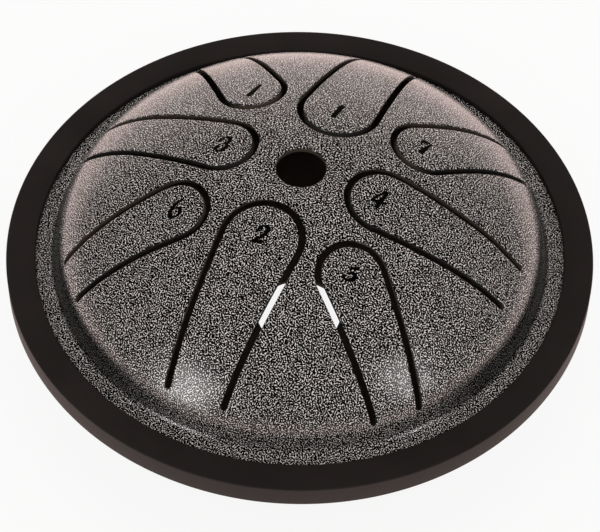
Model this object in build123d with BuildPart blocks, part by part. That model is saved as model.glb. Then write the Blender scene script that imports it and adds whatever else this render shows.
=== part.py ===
from build123d import *
from math import asin, cos, degrees, radians, sin, sqrt, tan
import os

# Steel tongue drum: two pressed steel shells bonded flange to flange, with a rubber band round the rim.
# Millimetres and degrees. +Z is up, the origin is on the floor under the centre, the player is at -Y.

# Whole drum
overall_diameter = 155.0  # over the rim band
sheet = 1.5  # steel of both shells

# Rim band, and the adhesive between the flanges
band_width = 7.7  # rubber seen from above
band_web = 3.0  # rubber outside the flanges
band_lip = 1.6  # rubber over and under the flanges
band_edge = 0.4  # rounding of the band's four edges
band_clearance = 0.1  # between the flanges' edge and the bottom of the band's groove
bond = 0.3  # thickness of the adhesive
bond_inset = 0.5  # adhesive kept back from both edges of the flanges

# Foot of both shells: a steep wall with a small fillet out to the flange
land = 2.7  # flange left bare inside the band
wall_slope = 75.0
foot_fillet = 2.3  # on the upper side of the dome, the lower side of the bowl

# Dome
crown_radius = 106.0
knuckle_radius = 48.6
shoulder_radius = 19.4
shoulder_slope = 48.0  # where the knuckle gives way to the shoulder
dome_wall = 1.8  # height of the straight wall
sound_hole_diameter = 13.0

# Bowl
bowl_corner_radius = 22.0
bowl_wall = 8.5  # height of the straight wall
port_diameter = 23.0

# Tongues. The slots are cut on a line that leans outwards, so that they cross the sheet nearly square.
slot_width = 1.7
side_taper = 3.6  # each side, narrower towards the root
cut_tilt = 30.0
cut_reach = 12.0  # of the cut, above and below the sheet
root_gap = 0.1  # a bending line in the steel, left open so that each tongue is a body of its own
# azimuth is from +X towards +Y, tip_radius is to the centre of the round tip, width is across that tip,
# and root_inset is from the dome's foot in to the bending line
tongues = {
    "tongue_1_low": dict(azimuth=66.5, tip_radius=24.9, width=18.8, root_inset=5.6),
    "tongue_2": dict(azimuth=245.5, tip_radius=24.1, width=19.0, root_inset=5.9),
    "tongue_3": dict(azimuth=154.9, tip_radius=22.8, width=15.2, root_inset=5.6),
    "tongue_4": dict(azimuth=337.7, tip_radius=23.2, width=16.7, root_inset=8.6),
    "tongue_5": dict(azimuth=293.1, tip_radius=33.3, width=15.1, root_inset=4.0),
    "tongue_6": dict(azimuth=197.9, tip_radius=33.8, width=15.3, root_inset=5.3),
    "tongue_7": dict(azimuth=20.7, tip_radius=34.6, width=15.5, root_inset=5.6),
    "tongue_1_high": dict(azimuth=112.7, tip_radius=34.5, width=15.3, root_inset=5.6),
}

# Rubber feet, each stuck under the bowl with a round of tape
foot_height = 4.0
foot_diameter = 12.0  # at the tape
foot_draft = 14.0
foot_edge = 0.8
foot_margin = 1.5  # from the foot to the edge of the bowl's flat base
tape = 0.5  # thickness
tape_inset = 0.5  # tape kept back from the edge of the foot
foot_azimuths = {"front": 270.0, "rear_right": 30.0, "rear_left": 150.0}

# Radii
band_outer = overall_diameter / 2
band_inner = band_outer - band_width
groove_radius = band_outer - band_web
flange_radius = groove_radius - band_clearance
shell_foot = band_inner - land  # where the foot fillets run out into the flanges

# Drops and widths of the arcs
wall = radians(wall_slope)
shoulder = radians(shoulder_slope)
fillet_width = foot_fillet * sin(wall)
fillet_drop = foot_fillet * (1 - cos(wall))
knuckle_end = (
    shell_foot
    - fillet_width
    - dome_wall / tan(wall)
    - shoulder_radius * (sin(wall) - sin(shoulder))
)
crown = asin((knuckle_end - knuckle_radius * sin(shoulder)) / (crown_radius - knuckle_radius))
dome_rise = (
    crown_radius * (1 - cos(crown))
    + knuckle_radius * (cos(crown) - cos(shoulder))
    + shoulder_radius * (cos(shoulder) - cos(wall))
    + dome_wall
    + fillet_drop
)
base_radius = shell_foot - fillet_width - bowl_wall / tan(wall) - bowl_corner_radius * sin(wall)
bowl_depth = bowl_corner_radius * (1 - cos(wall)) + bowl_wall + fillet_drop

# Heights above the floor
base_height = foot_height + tape
lower_flange = base_height + bowl_depth  # underside
bond_height = lower_flange + sheet
upper_flange = bond_height + bond + sheet  # top side
apex = upper_flange + dome_rise
band_bottom = lower_flange - band_lip
band_top = upper_flange + band_lip


def dome_height(radius):
    # height of the dome's outer surface, from the crown out to the end of the shoulder
    edge = 0.0
    height = apex
    slope = 0.0
    arcs = ((crown_radius, crown), (knuckle_radius, shoulder), (shoulder_radius, wall))
    for arc_radius, end_slope in arcs:
        centre = edge - arc_radius * sin(slope)
        centre_height = height - arc_radius * cos(slope)
        edge = centre + arc_radius * sin(end_slope)
        height = centre_height + arc_radius * cos(end_slope)
        slope = end_slope
        if radius <= edge:
            break
    return centre_height + sqrt(arc_radius**2 - (radius - centre) ** 2)


def dome_meridian(depth):
    # line of the dome from the axis to the edge of the flange, at a depth below its outer surface
    knuckle_arc = knuckle_radius - depth
    handle = 4 / 3 * tan((shoulder - crown) / 4) * knuckle_arc
    shoulder_way = Vector(cos(shoulder), -sin(shoulder))
    with BuildLine() as meridian:
        top = JernArc((0, apex - depth), (1, 0), crown_radius - depth, -degrees(crown))
        knuckle_run = knuckle_arc * (sin(shoulder) - sin(crown))
        knuckle_drop = knuckle_arc * (cos(crown) - cos(shoulder))
        end = top @ 1 + (knuckle_run, -knuckle_drop)
        # the knuckle is a cubic curve, because a ring thicker than its own radius would cross itself
        Bezier(top @ 1, top @ 1 + (top % 1) * handle, end - shoulder_way * handle, end)
        bend = JernArc(end, shoulder_way, shoulder_radius - depth, degrees(shoulder - wall))
        side = Line(bend @ 1, bend @ 1 + (dome_wall / tan(wall), -dome_wall))
        foot = JernArc(side @ 1, side % 1, foot_fillet + depth, wall_slope)
        Line(foot @ 1, (flange_radius, upper_flange - depth))
    return meridian.line


def dome_profile():
    with BuildSketch(Plane.XZ) as profile:
        with BuildLine():
            add(dome_meridian(0))
            add(dome_meridian(sheet))
            Line((0, apex), (0, apex - sheet))
            Line((flange_radius, upper_flange), (flange_radius, upper_flange - sheet))
        make_face()
    return profile.sketch


def tongue_plane(tongue):
    # at the centre of the round tip on the dome, X towards the root, Z the line of the cut
    turn = radians(tongue["azimuth"])
    tilt = radians(cut_tilt)
    radius = tongue["tip_radius"]
    return Plane(
        origin=(radius * cos(turn), radius * sin(turn), dome_height(radius)),
        x_dir=(cos(tilt) * cos(turn), cos(tilt) * sin(turn), -sin(tilt)),
        z_dir=(sin(tilt) * cos(turn), sin(tilt) * sin(turn), cos(tilt)),
    )


def tongue_length(tongue):
    # from the centre of the tip to the bending line, in the tongue's plane
    root_radius = shell_foot - tongue["root_inset"]
    run = root_radius - tongue["tip_radius"]
    drop = dome_height(tongue["tip_radius"]) - dome_height(root_radius)
    return run * cos(radians(cut_tilt)) + drop * sin(radians(cut_tilt))


def tongue_corners(half_width, length):
    # where one tapered side leaves the round tip, and where it meets the bending line
    taper = radians(side_taper)
    tangent_x = half_width * sin(taper)
    tangent_y = half_width * cos(taper)
    return (tangent_x, tangent_y), (length, tangent_y - (length - tangent_x) * tan(taper))


def tongue_outline(tongue):
    length = tongue_length(tongue)
    half_width = tongue["width"] / 2
    (tangent_x, tangent_y), (root_x, root_y) = tongue_corners(half_width, length)
    with BuildSketch(tongue_plane(tongue).offset(-cut_reach)) as outline:
        with BuildLine():
            near = Line((root_x, root_y), (tangent_x, tangent_y))
            tip = ThreePointArc(near @ 1, (-half_width, 0), (tangent_x, -tangent_y))
            far = Line(tip @ 1, (root_x, -root_y))
            Line(far @ 1, near @ 0)
        make_face()
    return outline.sketch


def window_outline(tongue):
    # the tongue, the slot round it with its two round ends, and the gap at the bending line
    length = tongue_length(tongue)
    half_width = tongue["width"] / 2 + slot_width
    (tangent_x, tangent_y), (root_x, root_y) = tongue_corners(half_width, length + root_gap)
    _, (end_x, end_y) = tongue_corners(half_width - slot_width / 2, length)
    with BuildSketch(tongue_plane(tongue).offset(-cut_reach)) as outline:
        with BuildLine():
            near = Line((root_x, root_y), (tangent_x, tangent_y))
            tip = ThreePointArc(near @ 1, (-half_width, 0), (tangent_x, -tangent_y))
            far = Line(tip @ 1, (root_x, -root_y))
            Line(far @ 1, near @ 0)
        make_face()
        with Locations((end_x, end_y), (end_x, -end_y)):
            Circle(slot_width / 2)
    return outline.sketch


pieces = {}

# Dome with its flange, its sound hole and a window for each tongue
with BuildPart() as top_shell:
    revolve(dome_profile(), axis=Axis.Z)
    with BuildSketch(Plane.XY.offset(upper_flange)):
        Circle(sound_hole_diameter / 2)
    extrude(amount=dome_rise, mode=Mode.SUBTRACT)
    for tongue in tongues.values():
        extrude(window_outline(tongue), amount=2 * cut_reach, mode=Mode.SUBTRACT)
pieces["top_shell"] = top_shell

# Tongues, of the same sheet as the dome
for name, tongue in tongues.items():
    with BuildPart() as blade:
        revolve(dome_profile(), axis=Axis.Z)
        extrude(tongue_outline(tongue), amount=2 * cut_reach, mode=Mode.INTERSECT)
    pieces[name] = blade

# Bowl with a flat base, its sound port and its flange
with BuildPart() as bottom_shell:
    with BuildSketch(Plane.XZ):
        with BuildLine():
            base = Line((0, base_height), (base_radius, base_height))
            corner = JernArc(base @ 1, base % 1, bowl_corner_radius, wall_slope)
            side = Line(corner @ 1, corner @ 1 + (bowl_wall / tan(wall), bowl_wall))
            foot = JernArc(side @ 1, side % 1, foot_fillet, -wall_slope)
            Line(foot @ 1, (flange_radius, lower_flange))
            offset(amount=sheet, side=Side.LEFT)
        make_face()
    revolve(axis=Axis.Z)
    with BuildSketch(Plane.XY.offset(base_height)):
        Circle(port_diameter / 2)
    extrude(amount=sheet, mode=Mode.SUBTRACT)
pieces["bottom_shell"] = bottom_shell

# Ring of adhesive between the two flanges
with BuildPart() as seam_bond:
    with BuildSketch(Plane.XY.offset(bond_height)):
        Circle(flange_radius - bond_inset)
        Circle(shell_foot + bond_inset, mode=Mode.SUBTRACT)
    extrude(amount=bond)
pieces["seam_bond"] = seam_bond

# Rubber band, a channel that grips both flanges
with BuildPart() as rim_band:
    with BuildSketch(Plane.XZ) as section:
        with Locations((band_inner, band_bottom)):
            Rectangle(band_width, band_top - band_bottom, align=Align.MIN)
        fillet(section.vertices(), radius=band_edge)
        with Locations((band_inner, lower_flange)):
            Rectangle(
                groove_radius - band_inner,
                upper_flange - lower_flange,
                align=Align.MIN,
                mode=Mode.SUBTRACT,
            )
    revolve(axis=Axis.Z)
pieces["rim_band"] = rim_band

# Feet and their rounds of tape, on a circle inside the flat base
foot_circle = base_radius - foot_margin - foot_diameter / 2
for place, azimuth in foot_azimuths.items():
    foot_x = foot_circle * cos(radians(azimuth))
    foot_y = foot_circle * sin(radians(azimuth))
    with BuildPart() as rubber_foot:
        with BuildSketch(Plane((foot_x, foot_y, foot_height))):
            Circle(foot_diameter / 2)
        extrude(amount=-foot_height, taper=foot_draft)
        fillet(rubber_foot.edges().group_by(Axis.Z)[0], radius=foot_edge)
    pieces[f"foot_{place}"] = rubber_foot
    with BuildPart() as foot_tape:
        with BuildSketch(Plane((foot_x, foot_y, foot_height))):
            Circle(foot_diameter / 2 - tape_inset)
        extrude(amount=tape)
    pieces[f"foot_tape_{place}"] = foot_tape

os.makedirs("parts", exist_ok=True)
for name, piece in pieces.items():
    piece.part.label = name
    export_step(piece.part, f"parts/{name}.step")
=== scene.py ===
import bmesh
import bpy
import numpy as np
from math import asin, ceil, cos, hypot, pi, radians, sin, tan
from mathutils import Matrix, Vector
from mathutils.geometry import delaunay_2d_cdt
from mathutils.kdtree import KDTree


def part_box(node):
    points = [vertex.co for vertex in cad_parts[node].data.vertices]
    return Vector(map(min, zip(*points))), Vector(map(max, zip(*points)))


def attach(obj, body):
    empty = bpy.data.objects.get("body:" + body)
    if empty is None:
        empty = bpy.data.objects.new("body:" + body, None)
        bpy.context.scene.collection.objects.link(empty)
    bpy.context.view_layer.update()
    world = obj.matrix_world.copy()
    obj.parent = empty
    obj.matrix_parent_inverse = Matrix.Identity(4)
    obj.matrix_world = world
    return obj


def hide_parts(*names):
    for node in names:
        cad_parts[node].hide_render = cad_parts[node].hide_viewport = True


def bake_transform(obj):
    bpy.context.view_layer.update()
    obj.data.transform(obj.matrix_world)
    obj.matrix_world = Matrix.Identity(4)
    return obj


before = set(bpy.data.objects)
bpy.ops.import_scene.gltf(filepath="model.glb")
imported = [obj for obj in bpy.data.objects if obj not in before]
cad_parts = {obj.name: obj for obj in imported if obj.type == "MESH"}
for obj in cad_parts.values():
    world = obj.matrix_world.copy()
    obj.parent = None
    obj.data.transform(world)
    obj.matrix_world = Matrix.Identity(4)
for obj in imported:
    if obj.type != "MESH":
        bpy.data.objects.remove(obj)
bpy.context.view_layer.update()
print("frame loaded:", len(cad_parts), "CAD nodes")

mm = 0.001
slack = 1e-12

# Steel tongue drum, in metres. The viewer is at -Y, the drum stands on its feet at z = 0.

# Sizes that the drum's pieces share
drum = {
    "sheet": 1.5 * mm,
    "wallSlope": radians(75),
    "footFillet": 2.3 * mm,
    "land": 2.7 * mm,  # bare flange inside the band
    "bandWidth": 7.7 * mm,
    "bandLip": 1.6 * mm,
}
bandLow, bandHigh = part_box("rim_band")
bowlLow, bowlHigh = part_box("bottom_shell")
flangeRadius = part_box("top_shell")[1].x
bandRadius = min(-bandLow.x, bandHigh.y)  # the CAD box is a few microns short of round
bandInner = bandHigh.x - drum["bandWidth"]
shellFoot = bandInner - drum["land"]
upperFlange = bandHigh.z - drum["bandLip"]
lowerFlange = bandLow.z + drum["bandLip"]


# Shader helpers

def addNode(tree, kind, inputs=(), **settings):
    node = tree.nodes.new(kind)
    for name, value in settings.items():
        setattr(node, name, value)
    for name, value in dict(inputs).items():
        node.inputs[name].default_value = value
    return node


def newFinish(name):
    finish = bpy.data.materials.new(name)
    finish.use_nodes = True
    tree = finish.node_tree
    tree.nodes.clear()
    output = addNode(tree, "ShaderNodeOutputMaterial")
    return finish, tree, output


def blendColours(tree, low, high, share):
    mix = addNode(tree, "ShaderNodeMix", data_type="RGBA")
    mix.inputs["A"].default_value = (*low, 1)
    mix.inputs["B"].default_value = (*high, 1)
    tree.links.new(share, mix.inputs["Factor"])
    return mix.outputs["Result"]


def mapRange(tree, value, fromMin, fromMax, toMin=0.0, toMax=1.0, kind="SMOOTHSTEP"):
    node = addNode(tree, "ShaderNodeMapRange", interpolation_type=kind)
    node.inputs["From Min"].default_value = fromMin
    node.inputs["From Max"].default_value = fromMax
    node.inputs["To Min"].default_value = toMin
    node.inputs["To Max"].default_value = toMax
    tree.links.new(value, node.inputs["Value"])
    return node.outputs["Result"]


def noiseFrom(tree, place, scale, detail=0.0, roughness=0.5):
    node = addNode(tree, "ShaderNodeTexNoise", {"Scale": scale, "Detail": detail, "Roughness": roughness})
    tree.links.new(place, node.inputs["Vector"])
    return node.outputs["Fac"]


def maths(tree, operation, a, b=0):
    node = addNode(tree, "ShaderNodeMath", operation=operation)
    for socket, value in zip(node.inputs, (a, b)):
        if isinstance(value, (int, float)):
            socket.default_value = value
        else:
            tree.links.new(value, socket)
    return node.outputs[0]


def addRelief(tree, height, shader, strength, distance):
    bump = addNode(tree, "ShaderNodeBump", {"Strength": strength, "Distance": distance})
    tree.links.new(height, bump.inputs["Height"])
    tree.links.new(bump.outputs["Normal"], shader.inputs["Normal"])


def mixShaders(tree, share, first, second):
    mix = addNode(tree, "ShaderNodeMixShader")
    tree.links.new(share, mix.inputs["Fac"])
    tree.links.new(first.outputs[0], mix.inputs[1])
    tree.links.new(second.outputs[0], mix.inputs[2])
    return mix


noiseSpan = (0.3, 0.7)  # where most of a noise's values lie

# Vein paint: a net of silver veins on black under a clear gloss, with painted shade in the crease at the
# dome's foot; bare dark steel inside the drum
veinPaint = {
    "cells": 1340.0,  # of the vein noise, in a metre
    "waves": 1.15,  # in a cell
    "patches": 140.0,
    "patchShare": 0.008,
    "flakes": 5200.0,
    "flakeTint": (0.75, 1.0),
    "grain": 2600.0,
    "grainShare": 0.08,
    "low": 0.35,  # from here a vein starts, out of 0.5 along its middle
    "high": 0.45,
    "black": (0.0006, 0.0006, 0.0006),
    "silver": (0.93, 0.90, 0.885),
    "shine": 0.5,
    "metal": 0.2,
    "metalFrom": (0, 0.25),
    "rough": (0.20, 0.34),  # of the black, of the silver
    "edgeShare": 0.03,  # of silver on the walls of the cuts
    "creaseShadeInner": (62.0 * mm, 63.8 * mm),  # painted shade: less silver in the crease at the dome's foot
    "creaseShadeOuter": (66.2 * mm, 65.0 * mm),
    "creaseShadeSides": (25 * mm, 52 * mm, 0.25, 1.0),  # painted shade, darkest at the two sides
    "creaseShadeShare": 0.2,
    "creaseShadeMetal": 0.5,
    "creaseShadeShine": 0.12,
    "relief": (0.2, 0.05 * mm),
    "bareDark": (0.052, 0.039, 0.031),
    "barePale": (0.078, 0.061, 0.049),
    "bareRough": 0.7,
    "bareShine": 0.15,
    "middle": (0, 0, 33 * mm),  # what faces this point is inside
}


def makeVeinPaint():
    p = veinPaint
    finish, tree, output = newFinish("veinPaint")
    link = tree.links.new
    place = addNode(tree, "ShaderNodeTexCoord").outputs["Object"]
    flat = addNode(tree, "ShaderNodeAttribute", attribute_name="flat").outputs["Vector"]
    veins = addNode(tree, "ShaderNodeTexGabor", gabor_type="2D")
    for socket, value in (("Scale", p["cells"]), ("Frequency", p["waves"]), ("Anisotropy", 0.0)):
        veins.inputs[socket].default_value = value
    link(flat, veins.inputs["Vector"])
    patches = noiseFrom(tree, place, p["patches"], detail=2.0)
    flakes = noiseFrom(tree, place, p["flakes"], detail=1.0)
    grain = noiseFrom(tree, place, p["grain"])
    level = maths(tree, "PINGPONG", veins.outputs["Phase"], 0.5)
    for noise, amount in ((patches, p["patchShare"]), (grain, p["grainShare"])):
        more = mapRange(tree, noise, *noiseSpan, -amount, amount, "LINEAR")
        level = maths(tree, "ADD", level, more)
    silver = mapRange(tree, level, p["low"], p["high"])

    spot = addNode(tree, "ShaderNodeSeparateXYZ")
    link(place, spot.inputs[0])
    across = addNode(tree, "ShaderNodeCombineXYZ")
    link(spot.outputs["X"], across.inputs["X"])
    link(spot.outputs["Y"], across.inputs["Y"])
    reach = addNode(tree, "ShaderNodeVectorMath", operation="LENGTH")
    link(across.outputs[0], reach.inputs[0])
    # painted shade: less silver, more metal and less shine in the crease at the dome's foot, darkest at the
    # two sides
    creaseShade = mapRange(tree, reach.outputs["Value"], *p["creaseShadeInner"])
    creaseShade = maths(tree, "MULTIPLY", creaseShade, mapRange(tree, reach.outputs["Value"], *p["creaseShadeOuter"]))
    sideways = maths(tree, "ABSOLUTE", spot.outputs["X"])
    creaseShade = maths(tree, "MULTIPLY", creaseShade, mapRange(tree, sideways, *p["creaseShadeSides"]))
    silver = maths(tree, "MULTIPLY", silver, mapRange(tree, creaseShade, 0, 1, 1, p["creaseShadeShare"], "LINEAR"))

    edge = addNode(tree, "ShaderNodeAttribute", attribute_name="edge").outputs["Fac"]
    smoothed = addNode(tree, "ShaderNodeMix", {"B": p["edgeShare"]}, data_type="FLOAT")
    link(edge, smoothed.inputs["Factor"])
    link(silver, smoothed.inputs["A"])
    share = smoothed.outputs["Result"]
    tint = maths(tree, "MULTIPLY", share, mapRange(tree, flakes, *noiseSpan, *p["flakeTint"], "LINEAR"))
    metalShare = mapRange(tree, share, *p["metalFrom"], kind="LINEAR")
    metalMost = mapRange(tree, creaseShade, 0, 1, p["metal"], p["creaseShadeMetal"], "LINEAR")
    metal = maths(tree, "MULTIPLY", metalShare, metalMost)
    shine = mapRange(tree, creaseShade, 0, 1, p["shine"], p["creaseShadeShine"], "LINEAR")
    veined = addNode(tree, "ShaderNodeBsdfPrincipled")
    link(blendColours(tree, p["black"], p["silver"], tint), veined.inputs["Base Color"])
    link(shine, veined.inputs["Specular IOR Level"])
    link(metal, veined.inputs["Metallic"])
    link(mapRange(tree, share, 0, 1, *p["rough"], "LINEAR"), veined.inputs["Roughness"])
    addRelief(tree, flakes, veined, *p["relief"])

    bare = addNode(tree, "ShaderNodeBsdfPrincipled")
    bare.inputs["Roughness"].default_value = p["bareRough"]
    bare.inputs["Specular IOR Level"].default_value = p["bareShine"]
    link(blendColours(tree, p["bareDark"], p["barePale"], patches), bare.inputs["Base Color"])
    outward = addNode(tree, "ShaderNodeVectorMath", {1: p["middle"]}, operation="SUBTRACT")
    link(place, outward.inputs[0])
    facing = addNode(tree, "ShaderNodeVectorMath", operation="DOT_PRODUCT")
    link(outward.outputs[0], facing.inputs[0])
    link(addNode(tree, "ShaderNodeNewGeometry").outputs["Normal"], facing.inputs[1])
    inside = maths(tree, "LESS_THAN", facing.outputs["Value"], 0.0)
    link(mixShaders(tree, inside, veined, bare).outputs[0], output.inputs[0])
    return finish


# Rubber of the band and feet: matte black with a faint bloom and a fine grain
rubber = {
    "bloom": 38.0,
    "bloomSpan": (0.35, 0.7),
    "shine": 0.24,
    "rough": (0.52, 0.64),
    "relief": (0.25, 0.03 * mm),
}


def makeRubber(name, dark, pale, grain):
    finish, tree, output = newFinish(name)
    link = tree.links.new
    place = addNode(tree, "ShaderNodeTexCoord").outputs["Object"]
    bloom = noiseFrom(tree, place, rubber["bloom"], detail=4.0, roughness=0.6)
    fine = noiseFrom(tree, place, grain, detail=2.0)
    share = mapRange(tree, bloom, *rubber["bloomSpan"])
    shader = addNode(tree, "ShaderNodeBsdfPrincipled", {"Specular IOR Level": rubber["shine"]})
    link(blendColours(tree, dark, pale, share), shader.inputs["Base Color"])
    link(mapRange(tree, fine, *noiseSpan, *rubber["rough"], "LINEAR"), shader.inputs["Roughness"])
    addRelief(tree, fine, shader, *rubber["relief"])
    link(shader.outputs[0], output.inputs[0])
    return finish


# Finishes with a little mottle: print, glue, tape
mottled = {"roughSpread": 0.05, "relief": (0.2, 0.02 * mm)}


def makeMottled(name, dark, pale, scale, rough, shine):
    finish, tree, output = newFinish(name)
    link = tree.links.new
    place = addNode(tree, "ShaderNodeTexCoord").outputs["Object"]
    mottle = noiseFrom(tree, place, scale, detail=3.0)
    share = mapRange(tree, mottle, *noiseSpan)
    shader = addNode(tree, "ShaderNodeBsdfPrincipled", {"Specular IOR Level": shine})
    link(blendColours(tree, dark, pale, share), shader.inputs["Base Color"])
    spread = mottled["roughSpread"]
    link(mapRange(tree, share, 0, 1, rough - spread, rough + spread, "LINEAR"), shader.inputs["Roughness"])
    addRelief(tree, mottle, shader, *mottled["relief"])
    link(shader.outputs[0], output.inputs[0])
    return finish


paint = makeVeinPaint()
bandRubber = makeRubber("bandRubber", (0.0138, 0.0100, 0.0090), (0.0190, 0.0138, 0.0126), 4200.0)
footRubber = makeRubber("footRubber", (0.016, 0.016, 0.017), (0.024, 0.024, 0.025), 3000.0)
ink = ((0.0010, 0.0009, 0.0009), (0.0022, 0.0019, 0.0018))
numeralPrint = makeMottled("numeralPrint", *ink, 1800.0, 0.6, 0.03)
seamGlue = makeMottled("seamGlue", (0.30, 0.28, 0.24), (0.40, 0.38, 0.33), 500.0, 0.4, 0.4)
foamTape = makeMottled("foamTape", (0.62, 0.62, 0.60), (0.75, 0.75, 0.72), 2600.0, 0.8, 0.3)
print("finishes made")


# Dome: one line turned about the drum's axis
dome = {
    "crownRadius": 106 * mm,
    "knuckleRadius": 48.6 * mm,
    "shoulderRadius": 19.4 * mm,
    "shoulderSlope": radians(48),
    "wallHeight": 1.8 * mm,
    "holeRadius": 6.5 * mm,
    "outerMesh": 1.15 * mm,  # spacing of the skins' points
    "innerMesh": 2.4 * mm,
    "ringShare": 0.87,  # of that spacing, between the rings of points
    "clearShare": 0.6,  # of it, kept free beside the cuts
    "turnSteps": 360,
    "holeSteps": 72,
    "footSteps": (10, 9),  # of the fillet, of the flange
    "flatSteps": 400,
    "sharp": radians(50),
}
weldGap = 0.002 * mm
slimEdge = 0.0005 * mm


def layDomeLine():
    d = dome
    wall = drum["wallSlope"]
    kneeEnd = (
        shellFoot
        - drum["footFillet"] * sin(wall)
        - d["wallHeight"] / tan(wall)
        - d["shoulderRadius"] * (sin(wall) - sin(d["shoulderSlope"]))
    )
    crownSpan = kneeEnd - d["knuckleRadius"] * sin(d["shoulderSlope"])
    crownSlope = asin(crownSpan / (d["crownRadius"] - d["knuckleRadius"]))
    bends = (  # radius, slope at the end, length of a straight
        (d["crownRadius"], crownSlope, None),
        (d["knuckleRadius"], d["shoulderSlope"], None),
        (d["shoulderRadius"], wall, None),
        (None, wall, d["wallHeight"] / sin(wall)),
        (-drum["footFillet"], 0.0, None),
        (None, 0.0, flangeRadius - shellFoot),
    )
    stretches = []
    r, z, slope, run = 0.0, 0.0, 0.0, 0.0
    for radius, endSlope, length in bends:
        stretch = {"run": run, "slope": slope, "endSlope": endSlope, "radius": radius}
        if radius is None:
            stretch.update(r=r, z=z)
            r += length * cos(slope)
            z -= length * sin(slope)
        else:
            stretch.update(r=r - radius * sin(slope), z=z - radius * cos(slope))
            length = radius * (endSlope - slope)
            r = stretch["r"] + radius * sin(endSlope)
            z = stretch["z"] + radius * cos(endSlope)
            slope = endSlope
        run += length
        stretch["endRun"] = run
        stretches.append(stretch)
    for stretch in stretches:  # the flange sets the height
        stretch["z"] += upperFlange - z
    return stretches


domeLine = layDomeLine()
domeBends = domeLine[:3]  # crown, knuckle and shoulder, where the cuts are
shoulderRun = domeLine[2]["endRun"]
splitRun = domeLine[3]["endRun"]  # the cuts all end above the foot's fillet


def domeAt(run, azimuth, depth=0.0):
    run = np.asarray(run, float)
    r = np.zeros_like(run)
    z = np.zeros_like(run)
    for s in domeLine:
        here = run >= s["run"] - slack
        along = run - s["run"]
        if s["radius"] is None:
            slope = s["slope"]
            newR = s["r"] + along * cos(slope) - depth * sin(slope)
            newZ = s["z"] - along * sin(slope) - depth * cos(slope)
        else:
            slope = s["slope"] + along / s["radius"]
            newR = s["r"] + (s["radius"] - depth) * np.sin(slope)
            newZ = s["z"] + (s["radius"] - depth) * np.cos(slope)
        r = np.where(here, newR, r)
        z = np.where(here, newZ, z)
    return np.stack([r * np.cos(azimuth), r * np.sin(azimuth), z], -1)


def domeHeight(r, depth):
    shoulder = domeBends[-1]
    reach = shoulder["radius"] - depth
    past = r - shoulder["r"] - reach * sin(drum["wallSlope"])
    height = shoulder["z"] + reach * cos(drum["wallSlope"]) - past * tan(drum["wallSlope"])
    for s in reversed(domeBends):
        reach = s["radius"] - depth
        here = r <= s["r"] + reach * sin(s["endSlope"]) + slack
        rise = np.sqrt(np.maximum(reach**2 - (r - s["r"]) ** 2, 0.0))
        height = np.where(here, s["z"] + rise, height)
    return height


def domeRun(r, depth):
    shoulder = domeBends[-1]
    past = r - shoulder["r"] - (shoulder["radius"] - depth) * sin(drum["wallSlope"])
    run = shoulderRun + past / cos(drum["wallSlope"])
    for s in reversed(domeBends):
        reach = s["radius"] - depth
        here = r <= s["r"] + reach * sin(s["endSlope"]) + slack
        slope = np.arcsin(np.clip((r - s["r"]) / reach, -1, 1))
        run = np.where(here, s["run"] + s["radius"] * (slope - s["slope"]), run)
    return run


# Tongues, in the order of their notes: azimuth, centre of the round tip, width there, root in from the foot
tongues = {
    "tongue_1_low": (66.5, 24.9, 18.8, 5.6),
    "tongue_2": (245.5, 24.1, 19.0, 5.9),
    "tongue_3": (154.9, 22.8, 15.2, 5.6),
    "tongue_4": (337.7, 23.2, 16.7, 8.6),
    "tongue_5": (293.1, 33.3, 15.1, 4.0),
    "tongue_6": (197.9, 33.8, 15.3, 5.3),
    "tongue_7": (20.7, 34.6, 15.5, 5.6),
    "tongue_1_high": (112.7, 34.5, 15.3, 5.6),
}
cut = {
    "slot": 1.7 * mm,
    "taper": radians(3.6),
    "tilt": radians(30),  # the cut leans outwards, nearly square to the sheet
    "edgeRound": 0.28 * mm,  # paint rounds the outer edge
    "backRound": 0.15 * mm,
    "hold": 0.10 * mm,  # flat strip beside each rounding
    "roundSteps": 3,
    "sideStep": 0.75 * mm,
    "tipSteps": 40,
    "endSteps": 10,
    "rootStep": 0.9 * mm,
    "flexShare": 0.6,  # of the tongue's length, from the root
    "searchStep": 1e-5,
    "searchRounds": 12,
}


def cutLevels():
    # way into the steel from the cut, and depth below the outer skin, from skin to skin
    c = cut
    levels = [(c["edgeRound"] + c["hold"], 0.0)]
    for i in range(c["roundSteps"] + 1):
        a = i / c["roundSteps"] * pi / 2
        levels.append((c["edgeRound"] * (1 - sin(a)), c["edgeRound"] * (1 - cos(a))))
    for i in range(c["roundSteps"] + 1):
        a = i / c["roundSteps"] * pi / 2
        levels.append((c["backRound"] * (1 - cos(a)), drum["sheet"] - c["backRound"] * (1 - sin(a))))
    levels.append((c["backRound"] + c["hold"], drum["sheet"]))
    return levels


levels = cutLevels()
# how far each level is the wall of the cut, which has little silver on it
wallShare = [0.0, 0.0, 0.0, 0.3, *[1.0] * (len(levels) - 6), 0.0, 0.0]


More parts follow.
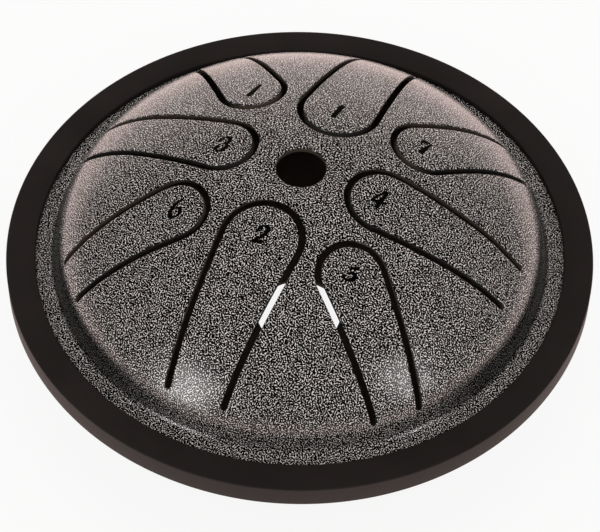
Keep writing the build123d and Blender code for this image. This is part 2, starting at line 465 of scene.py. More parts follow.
class Cutter:
    # a drawing plane on the dome, whose drawing is carried along the line of the cut
    def __init__(self, azimuth, tipRadius, tilt):
        turn = Matrix.Rotation(azimuth, 3, "Z")
        self.origin = np.array(turn @ Vector((tipRadius, 0, 0)))
        self.origin[2] = float(domeHeight(np.array(tipRadius), 0.0))
        self.x = np.array(turn @ Vector((cos(tilt), 0, -sin(tilt))))
        self.y = np.array(turn @ Vector((0, 1, 0)))
        self.z = np.array(turn @ Vector((sin(tilt), 0, cos(tilt))))

    def onDome(self, drawing, depth):
        # run and azimuth where the cut through each drawn point meets the skin at this depth
        start = self.origin + drawing[:, :1] * self.x + drawing[:, 1:] * self.y
        reach = np.zeros(len(start))
        step = cut["searchStep"]
        for _ in range(cut["searchRounds"]):
            miss = self.missBy(start, reach, depth)
            slope = (self.missBy(start, reach + step, depth) - miss) / step
            reach = reach - miss / slope
        points = start + reach[:, None] * self.z
        r = np.hypot(points[:, 0], points[:, 1])
        return domeRun(r, depth), np.arctan2(points[:, 1], points[:, 0])

    def missBy(self, start, reach, depth):
        points = start + reach[:, None] * self.z
        return points[:, 2] - domeHeight(np.hypot(points[:, 0], points[:, 1]), depth)


def straightRow(start, end, step):
    count = max(1, ceil(hypot(end[0] - start[0], end[1] - start[1]) / step))
    share = np.linspace(0, 1, count + 1)[:, None]
    return np.array(start) * (1 - share) + np.array(end) * share


def arcRow(centre, radius, start, end, steps):
    angle = np.linspace(start, end, steps + 1)
    way = np.stack([np.cos(angle), np.sin(angle)], -1)
    return np.array(centre) + radius * way, way


def drawCuts(tongue):
    # the tongue's edge and the far side of its slot, each with the way into the steel
    azimuth, tipRadius, width, rootInset = tongue
    c = cut
    tipRadius, half, slot = tipRadius * mm, width * mm / 2, c["slot"]
    rootRadius = shellFoot - rootInset * mm
    heights = domeHeight(np.array([tipRadius, rootRadius]), 0.0)
    length = (rootRadius - tipRadius) * cos(c["tilt"]) + (heights[0] - heights[1]) * sin(c["tilt"])
    side = np.array([sin(c["taper"]), cos(c["taper"])])  # square to the upper side, away from the tongue

    def sidePoint(offset, x):
        tangent = (half + offset) * side
        return np.array([x, tangent[1] - (x - tangent[0]) * tan(c["taper"])])

    slotEnd = sidePoint(slot / 2, length)
    root = slotEnd - slot / 2 * side
    mirror = np.array([1, -1])
    lean = pi / 2 - c["taper"]

    sideRow = straightRow(root, half * side, c["sideStep"])
    tipRow, tipWay = arcRow((0, 0), half, lean, 2 * pi - lean, c["tipSteps"])
    sideWay = np.repeat(side[None], len(sideRow) - 1, 0)
    blade = np.concatenate([sideRow[:-1], tipRow, sideRow[-2::-1] * mirror])
    bladeWay = -np.concatenate([sideWay, tipWay, sideWay * mirror])

    endRow, endWay = arcRow(slotEnd, slot / 2, lean - pi, lean, c["endSteps"])
    farRow = straightRow(endRow[-1], (half + slot) * side, c["sideStep"])
    farTip, farTipWay = arcRow((0, 0), half + slot, lean, 2 * pi - lean, c["tipSteps"])
    farWay = np.repeat(side[None], len(farRow) - 2, 0)
    farBack, endBack = farRow[-2:0:-1] * mirror, endRow[::-1] * mirror
    window = np.concatenate([endRow, farRow[1:-1], farTip, farBack, endBack])
    windowWay = np.concatenate([endWay, farWay, farTipWay, farWay * mirror, endWay[::-1] * mirror])
    cutter = Cutter(radians(azimuth), tipRadius, c["tilt"])
    return cutter, (blade, bladeWay), (window, windowWay)


def inPlan(run, azimuth):
    # the skins are laid flat by their distance from the crown, in millimetres
    return np.stack([run * np.cos(azimuth), run * np.sin(azimuth)], -1) / mm


def offPlan(flat):
    return np.hypot(flat[:, 0], flat[:, 1]) * mm, np.arctan2(flat[:, 1], flat[:, 0])


def insideLoop(points, loop):
    # nonzero winding, so a loop may cross itself
    turns = np.zeros(len(points), int)
    x, y = points[:, 0], points[:, 1]
    for (x0, y0), (x1, y1) in zip(loop, np.roll(loop, -1, 0)):
        left = (x1 - x0) * (y - y0) - (x - x0) * (y1 - y0)
        turns += (y0 <= y) & (y1 > y) & (left > 0)
        turns -= (y0 > y) & (y1 <= y) & (left < 0)
    return turns != 0


def fillLoops(loops, points, tolerance):
    # triangles between the points that keep to the loops
    edges, base = [], 0
    for loop in loops:
        edges += [(base + i, base + (i + 1) % len(loop)) for i in range(len(loop))]
        base += len(loop)
    flat = np.concatenate([*loops, points])
    found = delaunay_2d_cdt([Vector(p) for p in flat.tolist()], edges, [], 0, tolerance)
    return np.array([tuple(v) for v in found[0]]), np.array(found[2])


class SheetPiece:
    # corners and faces of one pressed piece, welded when it is made
    def __init__(self):
        self.corners, self.faces, self.edge, self.count = [], [], [], 0

    def add(self, corners, faces, edge=0.0):
        self.corners.append(np.asarray(corners))
        self.edge.append(np.broadcast_to(edge, len(corners)))
        self.faces.extend(tuple(int(i) + self.count for i in face) for face in faces)
        self.count += len(corners)

    def addStrip(self, rows, edges, closed=False):
        n = len(rows[0])
        faces = []
        for k in range(len(rows) - 1):
            for i in range(n if closed else n - 1):
                j = (i + 1) % n
                faces.append((k * n + i, k * n + j, (k + 1) * n + j, (k + 1) * n + i))
        self.add(np.concatenate(rows), faces, np.repeat(edges, n))

    def make(self, name, finish):
        mesh = bpy.data.meshes.new(name)
        mesh.from_pydata(np.concatenate(self.corners).tolist(), [], self.faces)
        shape = bmesh.new()
        shape.from_mesh(mesh)
        layer = shape.verts.layers.float.new("edge")
        for vert, edge in zip(shape.verts, np.concatenate(self.edge)):
            vert[layer] = edge
        bmesh.ops.remove_doubles(shape, verts=shape.verts, dist=weldGap)
        bmesh.ops.dissolve_degenerate(shape, edges=shape.edges, dist=slimEdge)
        loose = [vert for vert in shape.verts if not vert.link_faces]
        bmesh.ops.delete(shape, geom=loose, context="VERTS")
        bmesh.ops.recalc_face_normals(shape, faces=shape.faces)
        finishMesh(shape, mesh, dome["sharp"])
        piece = bpy.data.objects.new(name, mesh)
        bpy.context.scene.collection.objects.link(piece)
        mesh.materials.append(finish)
        return piece


def finishMesh(shape, mesh, sharpAngle):
    for face in shape.faces:
        face.smooth = True
    for edge in shape.edges:
        edge.smooth = not (edge.is_manifold and edge.calc_face_angle(0.0) > sharpAngle)
    opened = sum(not edge.is_manifold for edge in shape.edges)
    shape.to_mesh(mesh)
    shape.free()
    mesh.update()
    print(" ", mesh.name, len(mesh.polygons), "faces,", opened, "open edges")


def layFlat(mesh, radii, runs):
    # where the paint's veins are drawn: as far from the axis as the skin is long
    places = np.empty(3 * len(mesh.vertices))
    mesh.vertices.foreach_get("co", places)
    places = places.reshape(-1, 3)
    r = np.hypot(places[:, 0], places[:, 1])
    flat = places * (np.interp(r, radii, runs) / np.maximum(r, 0.1 * mm))[:, None]
    flat[:, 2] = 0
    mesh.attributes.new("flat", "FLOAT_VECTOR", "POINT").data.foreach_set("vector", flat.ravel())


def pressSheet():
    # lay both skins out flat with every cut in them, fill them with triangles and share these out
    pieces = {name: SheetPiece() for name in ("top_shell", *tongues)}
    shell = pieces["top_shell"]
    drawn = {name: drawCuts(tongue) for name, tongue in tongues.items()}
    crown = Cutter(0.0, 0.0, 0.0)
    holeRow, holeWay = arcRow((0, 0), dome["holeRadius"], 0, 2 * pi, dome["holeSteps"])
    holeRow, holeWay = holeRow[:-1], holeWay[:-1]
    turn = np.arange(dome["turnSteps"]) / dome["turnSteps"] * 2 * pi

    def cutRows(cutter, row, way):
        flats = [cutter.onDome(row + into * way, depth) for into, depth in levels]
        return flats, [domeAt(run, az, depth) for (run, az), (_, depth) in zip(flats, levels)]

    rows = {}
    for name, (cutter, blade, window) in drawn.items():
        rows[name] = (cutRows(cutter, *blade), cutRows(cutter, *window))
    holeFlats, holeRows = cutRows(crown, holeRow, holeWay)
    shell.addStrip(holeRows, wallShare, closed=True)
    for name, ((_, bladeRows), (_, windowRows)) in rows.items():
        pieces[name].addStrip(bladeRows, wallShare)
        shell.addStrip(windowRows, wallShare)

    roots = {}
    skins = ((0, 0.0, dome["outerMesh"]), (-1, drum["sheet"], dome["innerMesh"]))
    for level, depth, spacing in skins:
        bladeLoops, windowLoops = {}, {}
        for name, (cutter, (blade, bladeWay), _) in drawn.items():
            ends = blade[[-1, 0]] + levels[level][0] * bladeWay[[-1, 0]]
            rootCount = ceil(2 * blade[0, 1] / cut["rootStep"])
            share = np.linspace(0, 1, rootCount + 1)[:, None]
            rootRun, rootTurn = cutter.onDome(ends[0] * (1 - share) + ends[1] * share, depth)
            roots.setdefault(name, []).append(domeAt(rootRun, rootTurn, depth))
            rootFlat = inPlan(rootRun, rootTurn)[1:-1]
            (bladeFlats, _), (windowFlats, _) = rows[name]
            bladeLoops[name] = np.concatenate([inPlan(*bladeFlats[level]), rootFlat])
            windowLoops[name] = np.concatenate([inPlan(*windowFlats[level]), rootFlat])
        loops = [inPlan(*holeFlats[level]), inPlan(np.full_like(turn, splitRun), turn)]
        loops += [*bladeLoops.values(), *windowLoops.values()]
        flat, triangles = fillFlat(loops, spacing)
        middles = flat[triangles].mean(1)
        corners = domeAt(*offPlan(flat), depth)
        free = insideLoop(middles, loops[1]) & ~insideLoop(middles, loops[0])
        for name in tongues:
            inBlade = insideLoop(middles, bladeLoops[name])
            pieces[name].add(corners, triangles[inBlade])
            free &= ~insideLoop(middles, windowLoops[name])
        shell.add(corners, triangles[free])

    for name, (outer, inner) in roots.items():
        bladeRows = rows[name][0][1]
        for piece in (pieces[name], shell):
            piece.addStrip([outer, inner], (0.0, 0.0))
            for end in (0, -1):  # the crescent where the root meets the rounded edges
                column = [row[end] for row in bladeRows]
                piece.add(column, [range(len(column))])

    runs = [splitRun]
    for stretch, steps in zip(domeLine[4:], dome["footSteps"]):
        runs += list(np.linspace(stretch["run"], stretch["endRun"], steps + 1)[1:])
    outer = [domeAt(np.full_like(turn, run), turn) for run in runs]
    inner = [domeAt(np.full_like(turn, run), turn, drum["sheet"]) for run in runs]
    shell.addStrip(outer + inner[::-1], np.zeros(2 * len(runs)), closed=True)
    return pieces


def fillFlat(loops, spacing):
    # rings of points inside the loops, then triangles that keep to the loops
    tree = KDTree(sum(len(loop) for loop in loops))
    for i, (x, y) in enumerate(np.concatenate(loops)):
        tree.insert((x, y, 0), i)
    tree.balance()
    step = spacing / mm
    ring = dome["ringShare"] * step
    rim = splitRun / mm
    points = []
    for k in range(1, int(rim / ring)):
        count = max(6, round(2 * pi * k * ring / step))
        angles = (np.arange(count) + (k % 2) / 2) / count * 2 * pi
        points += [(k * ring * cos(a), k * ring * sin(a)) for a in angles]
    gap = dome["clearShare"] * step
    points = [p for p in points if hypot(*p) < rim and tree.find((*p, 0))[2] > gap]
    return fillLoops(loops, np.array(points), 1e-6)


pressed = pressSheet()
made = {name: piece.make(name + "_skin", paint) for name, piece in pressed.items()}
skinRuns = np.linspace(0, domeLine[-1]["endRun"], dome["flatSteps"])
skinRadii = domeAt(skinRuns, 0.0)[:, 0]
for piece in made.values():
    layFlat(piece.data, skinRadii, skinRuns)
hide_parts("top_shell")
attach(made["top_shell"], "drum")

for name, (azimuth, tipRadius, _, rootInset) in tongues.items():
    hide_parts(name)
    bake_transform(made[name])
print("dome and tongues pressed")


# Turned pieces: a profile in the XZ plane, swept about an upright axis by geometry nodes

def turningTree():
    tree = bpy.data.node_groups.new("turnedPiece", "GeometryNodeTree")
    kinds = {
        "Profile": "Geometry",
        "Turn steps": "Int",
        "Axis": "Vector",
        "Weld": "Float",
        "Finish": "Material",
    }
    addSocket = tree.interface.new_socket
    sockets = {}
    for name, kind in kinds.items():
        sockets[name] = addSocket(name=name, in_out="INPUT", socket_type="NodeSocket" + kind)
    addSocket(name="Piece", in_out="OUTPUT", socket_type="NodeSocketGeometry")
    link = tree.links.new
    given = addNode(tree, "NodeGroupInput").outputs

    size = addNode(tree, "GeometryNodeAttributeDomainSize", component="MESH")
    link(given["Profile"], size.inputs["Geometry"])
    profileCount = size.outputs["Point Count"]
    columns = maths(tree, "ADD", given["Turn steps"], 1)
    grid = addNode(tree, "GeometryNodeMeshGrid")
    link(maths(tree, "ADD", profileCount, 1), grid.inputs["Vertices X"])
    link(columns, grid.inputs["Vertices Y"])
    index = addNode(tree, "GeometryNodeInputIndex").outputs[0]
    row = maths(tree, "FLOOR", maths(tree, "DIVIDE", maths(tree, "ADD", index, 0.5), columns))
    column = maths(tree, "SUBTRACT", index, maths(tree, "MULTIPLY", row, columns))
    sample = addNode(tree, "GeometryNodeSampleIndex", data_type="FLOAT_VECTOR", domain="POINT")
    link(given["Profile"], sample.inputs["Geometry"])
    link(addNode(tree, "GeometryNodeInputPosition").outputs[0], sample.inputs["Value"])
    link(maths(tree, "FLOORED_MODULO", row, profileCount), sample.inputs["Index"])
    angle = maths(tree, "MULTIPLY", maths(tree, "DIVIDE", column, given["Turn steps"]), 2 * pi)
    turned = addNode(tree, "ShaderNodeVectorRotate", rotation_type="Z_AXIS")
    link(sample.outputs["Value"], turned.inputs["Vector"])
    link(angle, turned.inputs["Angle"])
    moved = addNode(tree, "ShaderNodeVectorMath", operation="ADD")
    link(turned.outputs[0], moved.inputs[0])
    link(given["Axis"], moved.inputs[1])
    place = addNode(tree, "GeometryNodeSetPosition")
    link(grid.outputs["Mesh"], place.inputs["Geometry"])
    link(moved.outputs[0], place.inputs["Position"])
    weld = addNode(tree, "GeometryNodeMergeByDistance")
    link(place.outputs[0], weld.inputs["Geometry"])
    link(given["Weld"], weld.inputs["Distance"])
    setFinish = addNode(tree, "GeometryNodeSetMaterial")
    link(weld.outputs[0], setFinish.inputs["Geometry"])
    link(given["Finish"], setFinish.inputs["Material"])
    link(setFinish.outputs[0], addNode(tree, "NodeGroupOutput").inputs[0])
    return tree, {name: socket.identifier for name, socket in sockets.items()}


turning, turningInputs = turningTree()
turnedSharp = radians(40)
turnedWeld = 0.001 * mm


def roundedLoop(corners, degreesPerStep=6):
    # corners are (radius from the axis, height, rounding)
    points = []
    for i, (r, z, rounding) in enumerate(corners):
        here = Vector((r, z))
        back = (Vector(corners[i - 1][:2]) - here).normalized()
        on = (Vector(corners[(i + 1) % len(corners)][:2]) - here).normalized()
        turn = pi - back.angle(on)
        if rounding == 0 or turn < 1e-4:
            points.append(here)
            continue
        centre = here + (back + on).normalized() * (rounding / cos(turn / 2))
        start = here + back * rounding * tan(turn / 2) - centre
        bend = 1 if back.cross(on) < 0 else -1
        steps = max(2, ceil(turn / radians(degreesPerStep)))
        for k in range(steps + 1):
            swing = Matrix.Rotation(bend * turn * k / steps, 2)
            points.append(centre + swing @ start)
    return points


def turnPiece(name, corners, finish, turnSteps, axis=(0, 0, 0), degreesPerStep=6):
    mesh = bpy.data.meshes.new(name + "_profile")
    points = roundedLoop(corners, degreesPerStep)
    count = len(points)
    sides = [(i, (i + 1) % count) for i in range(count)]
    mesh.from_pydata([(p.x, 0, p.y) for p in points], sides, [])
    piece = bpy.data.objects.new(name, mesh)
    bpy.context.scene.collection.objects.link(piece)
    turned = piece.modifiers.new("turned", "NODES")
    turned.node_group = turning
    turned[turningInputs["Turn steps"]] = turnSteps
    turned[turningInputs["Axis"]] = axis
    turned[turningInputs["Weld"]] = turnedWeld
    turned[turningInputs["Finish"]] = finish
    result = piece.evaluated_get(bpy.context.evaluated_depsgraph_get())
    solid = bpy.data.meshes.new_from_object(result)
    piece.modifiers.clear()
    piece.data = solid
    solid.name = name
    shape = bmesh.new()
    shape.from_mesh(solid)
    bmesh.ops.dissolve_degenerate(shape, edges=shape.edges, dist=slimEdge)
    bmesh.ops.delete(shape, geom=[edge for edge in shape.edges if edge.is_wire], context="EDGES")
    bmesh.ops.recalc_face_normals(shape, faces=shape.faces)
    finishMesh(shape, solid, turnedSharp)
    return piece


# Bowl with its flat base and sound port
bowl = {
    "cornerRadius": 22 * mm,
    "wallHeight": 8.5 * mm,
    "portRadius": 11.5 * mm,
    "portEdge": 0.3 * mm,
    "rimEdge": 0.2 * mm,
    "turnSteps": 300,
    "degreesPerStep": 3,
}
halfTurn = tan(drum["wallSlope"] / 2)
baseHeight = bowlLow.z
baseRadius = (
    shellFoot
    - drum["footFillet"] * sin(drum["wallSlope"])
    - bowl["wallHeight"] / tan(drum["wallSlope"])
    - bowl["cornerRadius"] * sin(drum["wallSlope"])
)
bowlSkins = []
for depth in (0.0, drum["sheet"]):
    cornerArc = bowl["cornerRadius"] - depth
    footArc = drum["footFillet"] + depth
    bowlSkins.append([
        (bowl["portRadius"], baseHeight + depth, bowl["portEdge"]),
        (baseRadius + cornerArc * halfTurn, baseHeight + depth, cornerArc),
        (shellFoot - footArc * halfTurn, lowerFlange + depth, footArc),
        (flangeRadius, lowerFlange + depth, bowl["rimEdge"]),
    ])
bowlCorners = bowlSkins[0] + bowlSkins[1][::-1]
bowlSteps = {"turnSteps": bowl["turnSteps"], "degreesPerStep": bowl["degreesPerStep"]}
bottom = turnPiece("bottom_shell_skin", bowlCorners, paint, **bowlSteps)
bowlLine = np.array([tuple(p) for p in roundedLoop(bowlSkins[0])])
bowlStrides = np.diff(bowlLine, axis=0, prepend=bowlLine[:1])
bowlRuns = bowl["portRadius"] + np.cumsum(np.hypot(*bowlStrides.T))
layFlat(bottom.data, bowlLine[:, 0], bowlRuns)
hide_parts("bottom_shell")
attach(bottom, "drum")
print("bowl turned")

# Rubber band: a channel over both flanges
band = {
    "web": 3.0 * mm,
    "edge": 0.4 * mm,
    "lipEdge": 0.45 * mm,
    "grooveEdge": 0.15 * mm,
    "turnSteps": 360,
    "degreesPerStep": 10,
}
grooveRadius = bandHigh.x - band["web"]
bandCorners = [
    (bandInner, bandLow.z, band["lipEdge"]),
    (bandRadius, bandLow.z, band["edge"]),
    (bandRadius, bandHigh.z, band["edge"]),
    (bandInner, bandHigh.z, band["lipEdge"]),
    (bandInner, upperFlange, 0),
    (grooveRadius, upperFlange, band["grooveEdge"]),
    (grooveRadius, lowerFlange, band["grooveEdge"]),
    (bandInner, lowerFlange, 0),
]
bandSteps = {"turnSteps": band["turnSteps"], "degreesPerStep": band["degreesPerStep"]}
rimBand = turnPiece("rim_band_rubber", bandCorners, bandRubber, **bandSteps)
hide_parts("rim_band")
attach(rimBand, "drum")
print("band turned")

# Feet, each on its round of tape
foot = {"draft": radians(14), "edge": 0.8 * mm, "topEdge": 0.25 * mm, "turnSteps": 64}
for place in ("front", "rear_right", "rear_left"):
    low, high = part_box("foot_" + place)
    middle = (low + high) / 2
    topRadius = (high.x - low.x) / 2
    soleRadius = topRadius - (high.z - low.z) * tan(foot["draft"])
    corners = [
        (0.0, low.z, 0),
        (soleRadius, low.z, foot["edge"]),
        (topRadius, high.z, foot["topEdge"]),
        (0.0, high.z, 0),
    ]
    axis = (middle.x, middle.y, 0)
    pad = turnPiece("foot_" + place + "_rubber", corners, footRubber, foot["turnSteps"], axis)
    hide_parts("foot_" + place)
    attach(pad, "drum")

# Glue and tapes keep their CAD shapes
for name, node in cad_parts.items():
    if name == "seam_bond" or name.startswith("foot_tape"):
        node.data.materials.clear()
        node.data.materials.append(seamGlue if name == "seam_bond" else foamTape)
print("feet made, glue and tape finished")


# Numerals: pen strokes of (x, y, width) in millimetres about the tip of the tongue, printed on the paint
numerals = {
    "tongue_1_high": (-12.4, 30.5, (
        ((1.12, 2.72, 0.80), (-0.20, 0.55, 0.95), (-1.62, -1.55, 1.05)),
        ((0.85, 2.45, 0.50), (0.15, 1.80, 0.35), (-0.45, 1.15, 0.15)),
    )),
    "tongue_1_low": (9.5, 21.3, (
        ((0.98, 2.35, 1.00), (-0.15, 0.25, 1.00), (-1.24, -1.86, 1.05)),
        ((0.85, 2.35, 0.35), (0.10, 2.15, 0.30), (-0.60, 1.60, 0.14)),
    )),
    "tongue_2": (-9.7, -20.8, (
        ((-0.75, 1.70, 0.68), (-0.40, 2.35, 0.42), (0.55, 2.68, 0.46), (1.55, 2.00, 0.86),
         (1.15, 0.75, 0.78), (0.05, -0.10, 0.55), (-1.20, -0.72, 0.48), (-2.15, -1.10, 0.50)),
        ((-2.20, -1.00, 0.45), (-1.35, -1.02, 0.70), (-0.40, -1.48, 0.62), (0.35, -1.48, 0.48),
         (0.75, -1.02, 0.20)),
    )),
    "tongue_3": (-20.2, 8.8, (
        ((-0.70, 1.85, 0.75), (-0.25, 2.50, 0.38), (0.80, 2.75, 0.42), (1.65, 2.15, 0.80),
         (1.50, 1.25, 0.75), (0.60, 0.75, 0.40)),
        ((0.40, 0.85, 0.35), (0.90, 0.10, 0.70), (0.45, -1.00, 0.80), (-0.55, -1.70, 0.55),
         (-1.50, -1.35, 0.50), (-1.85, -0.40, 0.62), (-1.25, 0.05, 0.62)),
    )),
    "tongue_4": (20.2, -8.7, (
        ((1.65, 2.45, 0.66), (0.55, 0.45, 0.80), (-0.85, -1.85, 1.0)),
        ((1.20, 2.45, 0.46), (-0.45, 1.30, 0.46), (-1.95, 0.10, 0.48)),
        ((-2.00, -0.05, 0.55), (-0.40, -0.45, 0.56), (1.25, -0.80, 0.52)),
    )),
    "tongue_5": (12.5, -30.8, (
        ((0.10, 1.50, 0.30), (0.60, 1.98, 0.50), (1.35, 1.92, 0.58), (2.20, 1.98, 0.28)),
        ((0.30, 1.65, 0.30), (0.15, 0.95, 0.35), (0.90, 0.72, 0.62), (1.25, 0.05, 0.88),
         (0.75, -0.75, 0.80), (-0.25, -1.05, 0.55), (-1.20, -0.78, 0.50), (-1.50, -0.15, 0.65)),
    )),
    "tongue_6": (-31.3, -11.1, (
        ((1.55, 3.70, 0.30), (0.30, 2.85, 0.50), (-0.95, 1.65, 0.66), (-1.70, 0.35, 0.70),
         (-1.55, -0.85, 0.64), (-0.65, -1.25, 0.46), (0.35, -0.80, 0.60), (0.85, 0.15, 0.70),
         (0.55, 1.00, 0.55), (-0.20, 1.25, 0.34), (-1.00, 0.85, 0.24)),
    )),
    "tongue_7": (31.9, 12.2, (
        ((-0.88, 1.00, 0.22), (-0.45, 1.88, 0.58), (0.25, 2.22, 0.75), (0.95, 1.92, 0.62),
         (1.90, 1.62, 0.28)),
        ((1.80, 1.58, 0.32), (0.90, 0.50, 0.60), (0.05, -0.75, 0.88), (-0.85, -2.00, 1.02)),
    )),
}
printed = {
    "bold": 1.32,
    "finest": 0.1,  # millimetres
    "size": 1.05,
    "penSteps": 7,
    "capSteps": 8,
    "fill": 0.32,  # millimetres between the points inside
    "above": 0.03 * mm,
    "below": 0.03 * mm,
}


def strokeOutline(stroke):
    # a smooth line through the points, as wide as the pen, with round ends
    pen = np.array(stroke)
    pen = np.concatenate([2 * pen[:1] - pen[1:2], pen, 2 * pen[-1:] - pen[-2:-1]])
    line = []
    for a, b, c, d in zip(pen, pen[1:], pen[2:], pen[3:]):
        square = 2 * a - 5 * b + 4 * c - d
        cube = 3 * b - a - 3 * c + d
        for t in np.arange(printed["penSteps"]) / printed["penSteps"]:
            line.append(0.5 * (2 * b + (c - a) * t + square * t**2 + cube * t**3))
    line = np.array([*line, pen[-2]])
    way = np.gradient(line[:, :2], axis=0)
    way /= np.linalg.norm(way, axis=1)[:, None]
    breadth = np.maximum(line[:, 2:] * printed["bold"], printed["finest"])
    arms = np.stack([-way[:, 1], way[:, 0]], -1) * breadth / 2
    left, right = line[:, :2] + arms, (line[:, :2] - arms)[::-1]
    caps = []
    swing = -np.linspace(0, pi, printed["capSteps"] + 1)[1:-1]
    for middle, (x, y) in ((line[-1, :2], arms[-1]), (line[0, :2], -arms[0])):
        capX = x * np.cos(swing) - y * np.sin(swing)
        capY = x * np.sin(swing) + y * np.cos(swing)
        caps.append(middle + np.stack([capX, capY], -1))
    return np.concatenate([left, caps[0], right, caps[1]])


def printNumeral(name, centre, strokes):
    loops = [strokeOutline(stroke) for stroke in strokes]
    low = np.min([loop.min(0) for loop in loops], 0)
    high = np.max([loop.max(0) for loop in loops], 0)
    x, y = (np.arange(low[i], high[i], printed["fill"]) for i in (0, 1))
    grid = np.stack(np.meshgrid(x, y), -1).reshape(-1, 2)
    grid = grid[np.any([insideLoop(grid, loop) for loop in loops], 0)]
    flat, triangles = fillLoops(loops, grid, 1e-5)
    middles = flat[triangles].mean(1)
    triangles = triangles[np.any([insideLoop(middles, loop) for loop in loops], 0)]
    plan = (flat * printed["size"] + centre) * mm
    r = np.hypot(plan[:, 0], plan[:, 1])
    run, azimuth = domeRun(r, 0.0), np.arctan2(plan[:, 1], plan[:, 0])
    top = domeAt(run, azimuth, -printed["above"])
    under = domeAt(run, azimuth, printed["below"])
    sides = {}
    for a, b, c in triangles:
        for pair in ((a, b), (b, c), (c, a)):
            sides[tuple(sorted(pair))] = None if tuple(sorted(pair)) in sides else pair
    n = len(flat)
    faces = [tuple(t) for t in triangles] + [tuple(t[::-1] + n) for t in triangles]
    faces += [(pair[1], pair[0], pair[0] + n, pair[1] + n) for pair in sides.values() if pair]
    piece = SheetPiece()
    piece.add(np.concatenate([top, under]), faces)
    return piece.make(name, numeralPrint)


for name, (x, y, strokes) in numerals.items():
    numeral = printNumeral(name.replace("tongue", "numeral"), np.array([x, y]), strokes)
    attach(numeral, name)
print("numerals printed")


# Stage: pale floor that stays white to the camera and keeps a soft shadow
stage = {
    "floorSize": 6.0,
    "floorDark": (0.86, 0.86, 0.865),
    "floorPale": (0.90, 0.90, 0.905),
    "floorMottle": 3.0,
    "white": (0.985, 0.985, 0.985),
    "warm": (1.65, 1.28, 1.20),  # the white floor behind the drum as the gloss shows it
    "front": (1.25, 1.02, 0.95),  # and before it
    "warmFrom": (-0.12, 0.06),  # along Y
    "glow": 0.9,  # share of the floor's brightness that no shadow takes
    "room": (1.16, 1.10, 1.07),
    "roomLow": (0.08, 0.07, 0.065),  # low down, but for the front
    "roomLowZ": (0.6, 0.1),
    "roomLowY": (-0.95, -0.45),
    "dark": (0.02, 0.02, 0.02),
    "paper": (1.25, 1.08, 1.03),  # low down at the back
    "paperZ": (0.75, 0.1),
    "paperY": (0.6, 0.95),
}


def makeFloor():
    finish, tree, output = newFinish("paleFloor")
    link = tree.links.new
    place = addNode(tree, "ShaderNodeTexCoord").outputs["Object"]
    mottle = noiseFrom(tree, place, stage["floorMottle"], detail=2.0)
    paper = addNode(tree, "ShaderNodeBsdfDiffuse")
    link(blendColours(tree, stage["floorDark"], stage["floorPale"], mottle), paper.inputs["Color"])
    seen = addNode(tree, "ShaderNodeLightPath").outputs
    spot = addNode(tree, "ShaderNodeSeparateXYZ")
    link(place, spot.inputs[0])
    behind = mapRange(tree, spot.outputs["Y"], *stage["warmFrom"])
    tone = addNode(tree, "ShaderNodeMix", data_type="RGBA")
    tone.inputs["A"].default_value = (*stage["white"], 1)
    link(blendColours(tree, stage["front"], stage["warm"], behind), tone.inputs["B"])
    link(seen["Is Glossy Ray"], tone.inputs["Factor"])
    glow = addNode(tree, "ShaderNodeEmission")
    link(tone.outputs["Result"], glow.inputs["Color"])
    rays = seen["Is Camera Ray"]
    for kind in ("Is Glossy Ray", "Is Transmission Ray"):
        rays = maths(tree, "MAXIMUM", rays, seen[kind])
    above = mixShaders(tree, mapRange(tree, rays, 0, 1, 0, stage["glow"], "LINEAR"), paper, glow)
    below = addNode(tree, "ShaderNodeBsdfTransparent")  # so that the underside can be seen
    fromBelow = addNode(tree, "ShaderNodeNewGeometry").outputs["Backfacing"]
    link(mixShaders(tree, fromBelow, above, below).outputs[0], output.inputs[0])
    finish.cycles.emission_sampling = "NONE"
    half = stage["floorSize"] / 2
    mesh = bpy.data.meshes.new("floor")
    corners = [(-half, -half, 0), (half, -half, 0), (half, half, 0), (-half, half, 0)]
    mesh.from_pydata(corners, [], [(0, 1, 2, 3)])
    floor = bpy.data.objects.new("floor", mesh)
    bpy.context.scene.collection.objects.link(floor)
    mesh.materials.append(finish)


# Room: pale to diffuse light and dim low down, white to the camera
# Gloss sees it dark, with warm paper low at the back
def makeWorld():
    world = bpy.data.worlds.new("studio")
    bpy.context.scene.world = world
    world.use_nodes = True
    world.cycles.sampling_method = "NONE"
    tree = world.node_tree
    tree.nodes.clear()
    link = tree.links.new
    output = addNode(tree, "ShaderNodeOutputWorld")
    way = addNode(tree, "ShaderNodeSeparateXYZ")
    link(addNode(tree, "ShaderNodeTexCoord").outputs["Generated"], way.inputs[0])
    shares = []
    for name in ("paper", "roomLow"):
        height = mapRange(tree, way.outputs["Z"], *stage[name + "Z"])
        shares.append(maths(tree, "MULTIPLY", height, mapRange(tree, way.outputs["Y"], *stage[name + "Y"])))
    seen = addNode(tree, "ShaderNodeLightPath").outputs
    spread = addNode(tree, "ShaderNodeMix", data_type="RGBA")
    link(blendColours(tree, stage["dark"], stage["paper"], shares[0]), spread.inputs["A"])
    link(blendColours(tree, stage["room"], stage["roomLow"], shares[1]), spread.inputs["B"])
    link(seen["Is Diffuse Ray"], spread.inputs["Factor"])
    room = addNode(tree, "ShaderNodeBackground")
    link(spread.outputs["Result"], room.inputs["Color"])
    white = addNode(tree, "ShaderNodeBackground", {"Color": (*stage["white"], 1)})
    link(mixShaders(tree, seen["Is Camera Ray"], room, white).outputs[0], output.inputs[0])


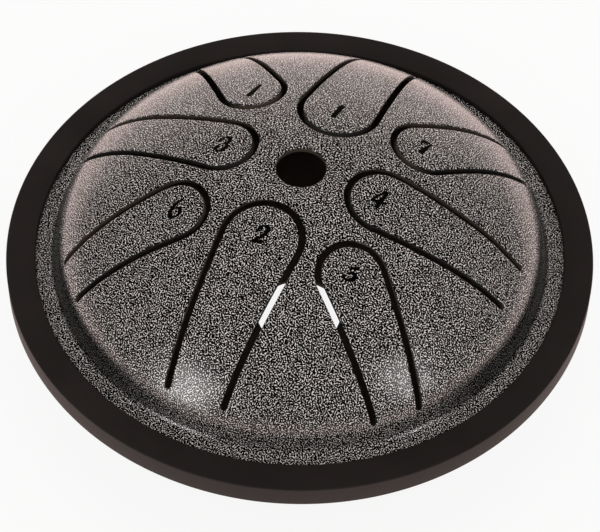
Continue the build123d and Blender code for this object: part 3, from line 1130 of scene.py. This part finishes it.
# Lamps: azimuth from the viewer towards +X, elevation, distance, width, height, power
# Only gloss shows them
lamps = {
    "softboxLeft": (-45, 15, 0.9, 0.28, 0.56, 2.5),
    "softboxRight": (47, 25, 0.9, 0.17, 0.50, 1.2),
}
lampAim = Vector((0, 0, 0.05))


def makeLamps():
    for name, (azimuth, elevation, distance, width, height, power) in lamps.items():
        a, e = radians(azimuth), radians(elevation)
        way = Vector((sin(a) * cos(e), -cos(a) * cos(e), sin(e)))
        light = bpy.data.lights.new(name, "AREA")
        light.shape = "RECTANGLE"
        light.size, light.size_y = width, height
        light.energy = power
        lamp = bpy.data.objects.new(name, light)
        bpy.context.scene.collection.objects.link(lamp)
        lamp.location = lampAim + way * distance
        lamp.rotation_euler = way.to_track_quat("Z", "Y").to_euler()
        lamp.visible_diffuse = False


# Camera: at the photograph's angle on the band's top face, for an image of 600 by 532
camera = {
    "width": 600,
    "focal": 2428.6,  # in pixels of that width
    "elevation": radians(51.1755),
    "distance": 642.475 * mm,
    "yaw": radians(0.010),
    "pitch": radians(-0.526),
    "roll": radians(-0.926),
    "sensor": 36.0,
    "clip": (0.01, 20),
}


def makeCamera():
    c = camera
    view = bpy.data.cameras.new("photoView")
    view.sensor_fit = "HORIZONTAL"
    view.sensor_width = c["sensor"]
    view.lens = c["focal"] * c["sensor"] / c["width"]
    view.clip_start, view.clip_end = c["clip"]
    eye = bpy.data.objects.new("photoView", view)
    bpy.context.scene.collection.objects.link(eye)
    rise, along = sin(c["elevation"]), cos(c["elevation"])
    level = Matrix(((1, 0, 0), (0, rise, along), (0, along, -rise)))
    yaw = Matrix.Rotation(-c["yaw"], 3, "Y")
    pitch = Matrix.Rotation(c["pitch"], 3, "X")
    roll = Matrix.Rotation(c["roll"], 3, "Z")
    right, up, ahead = roll @ pitch @ yaw @ level
    facing = Matrix((right, up, -ahead)).transposed().to_4x4()
    back = Vector((0, -along, rise)) * c["distance"]
    eye.matrix_world = Matrix.Translation(Vector((0, 0, bandHigh.z)) + back) @ facing
    bpy.context.scene.camera = eye


makeFloor()
makeWorld()
makeLamps()
makeCamera()
bpy.context.scene.view_settings.view_transform = "Standard"
print("stage, lamps and camera set")
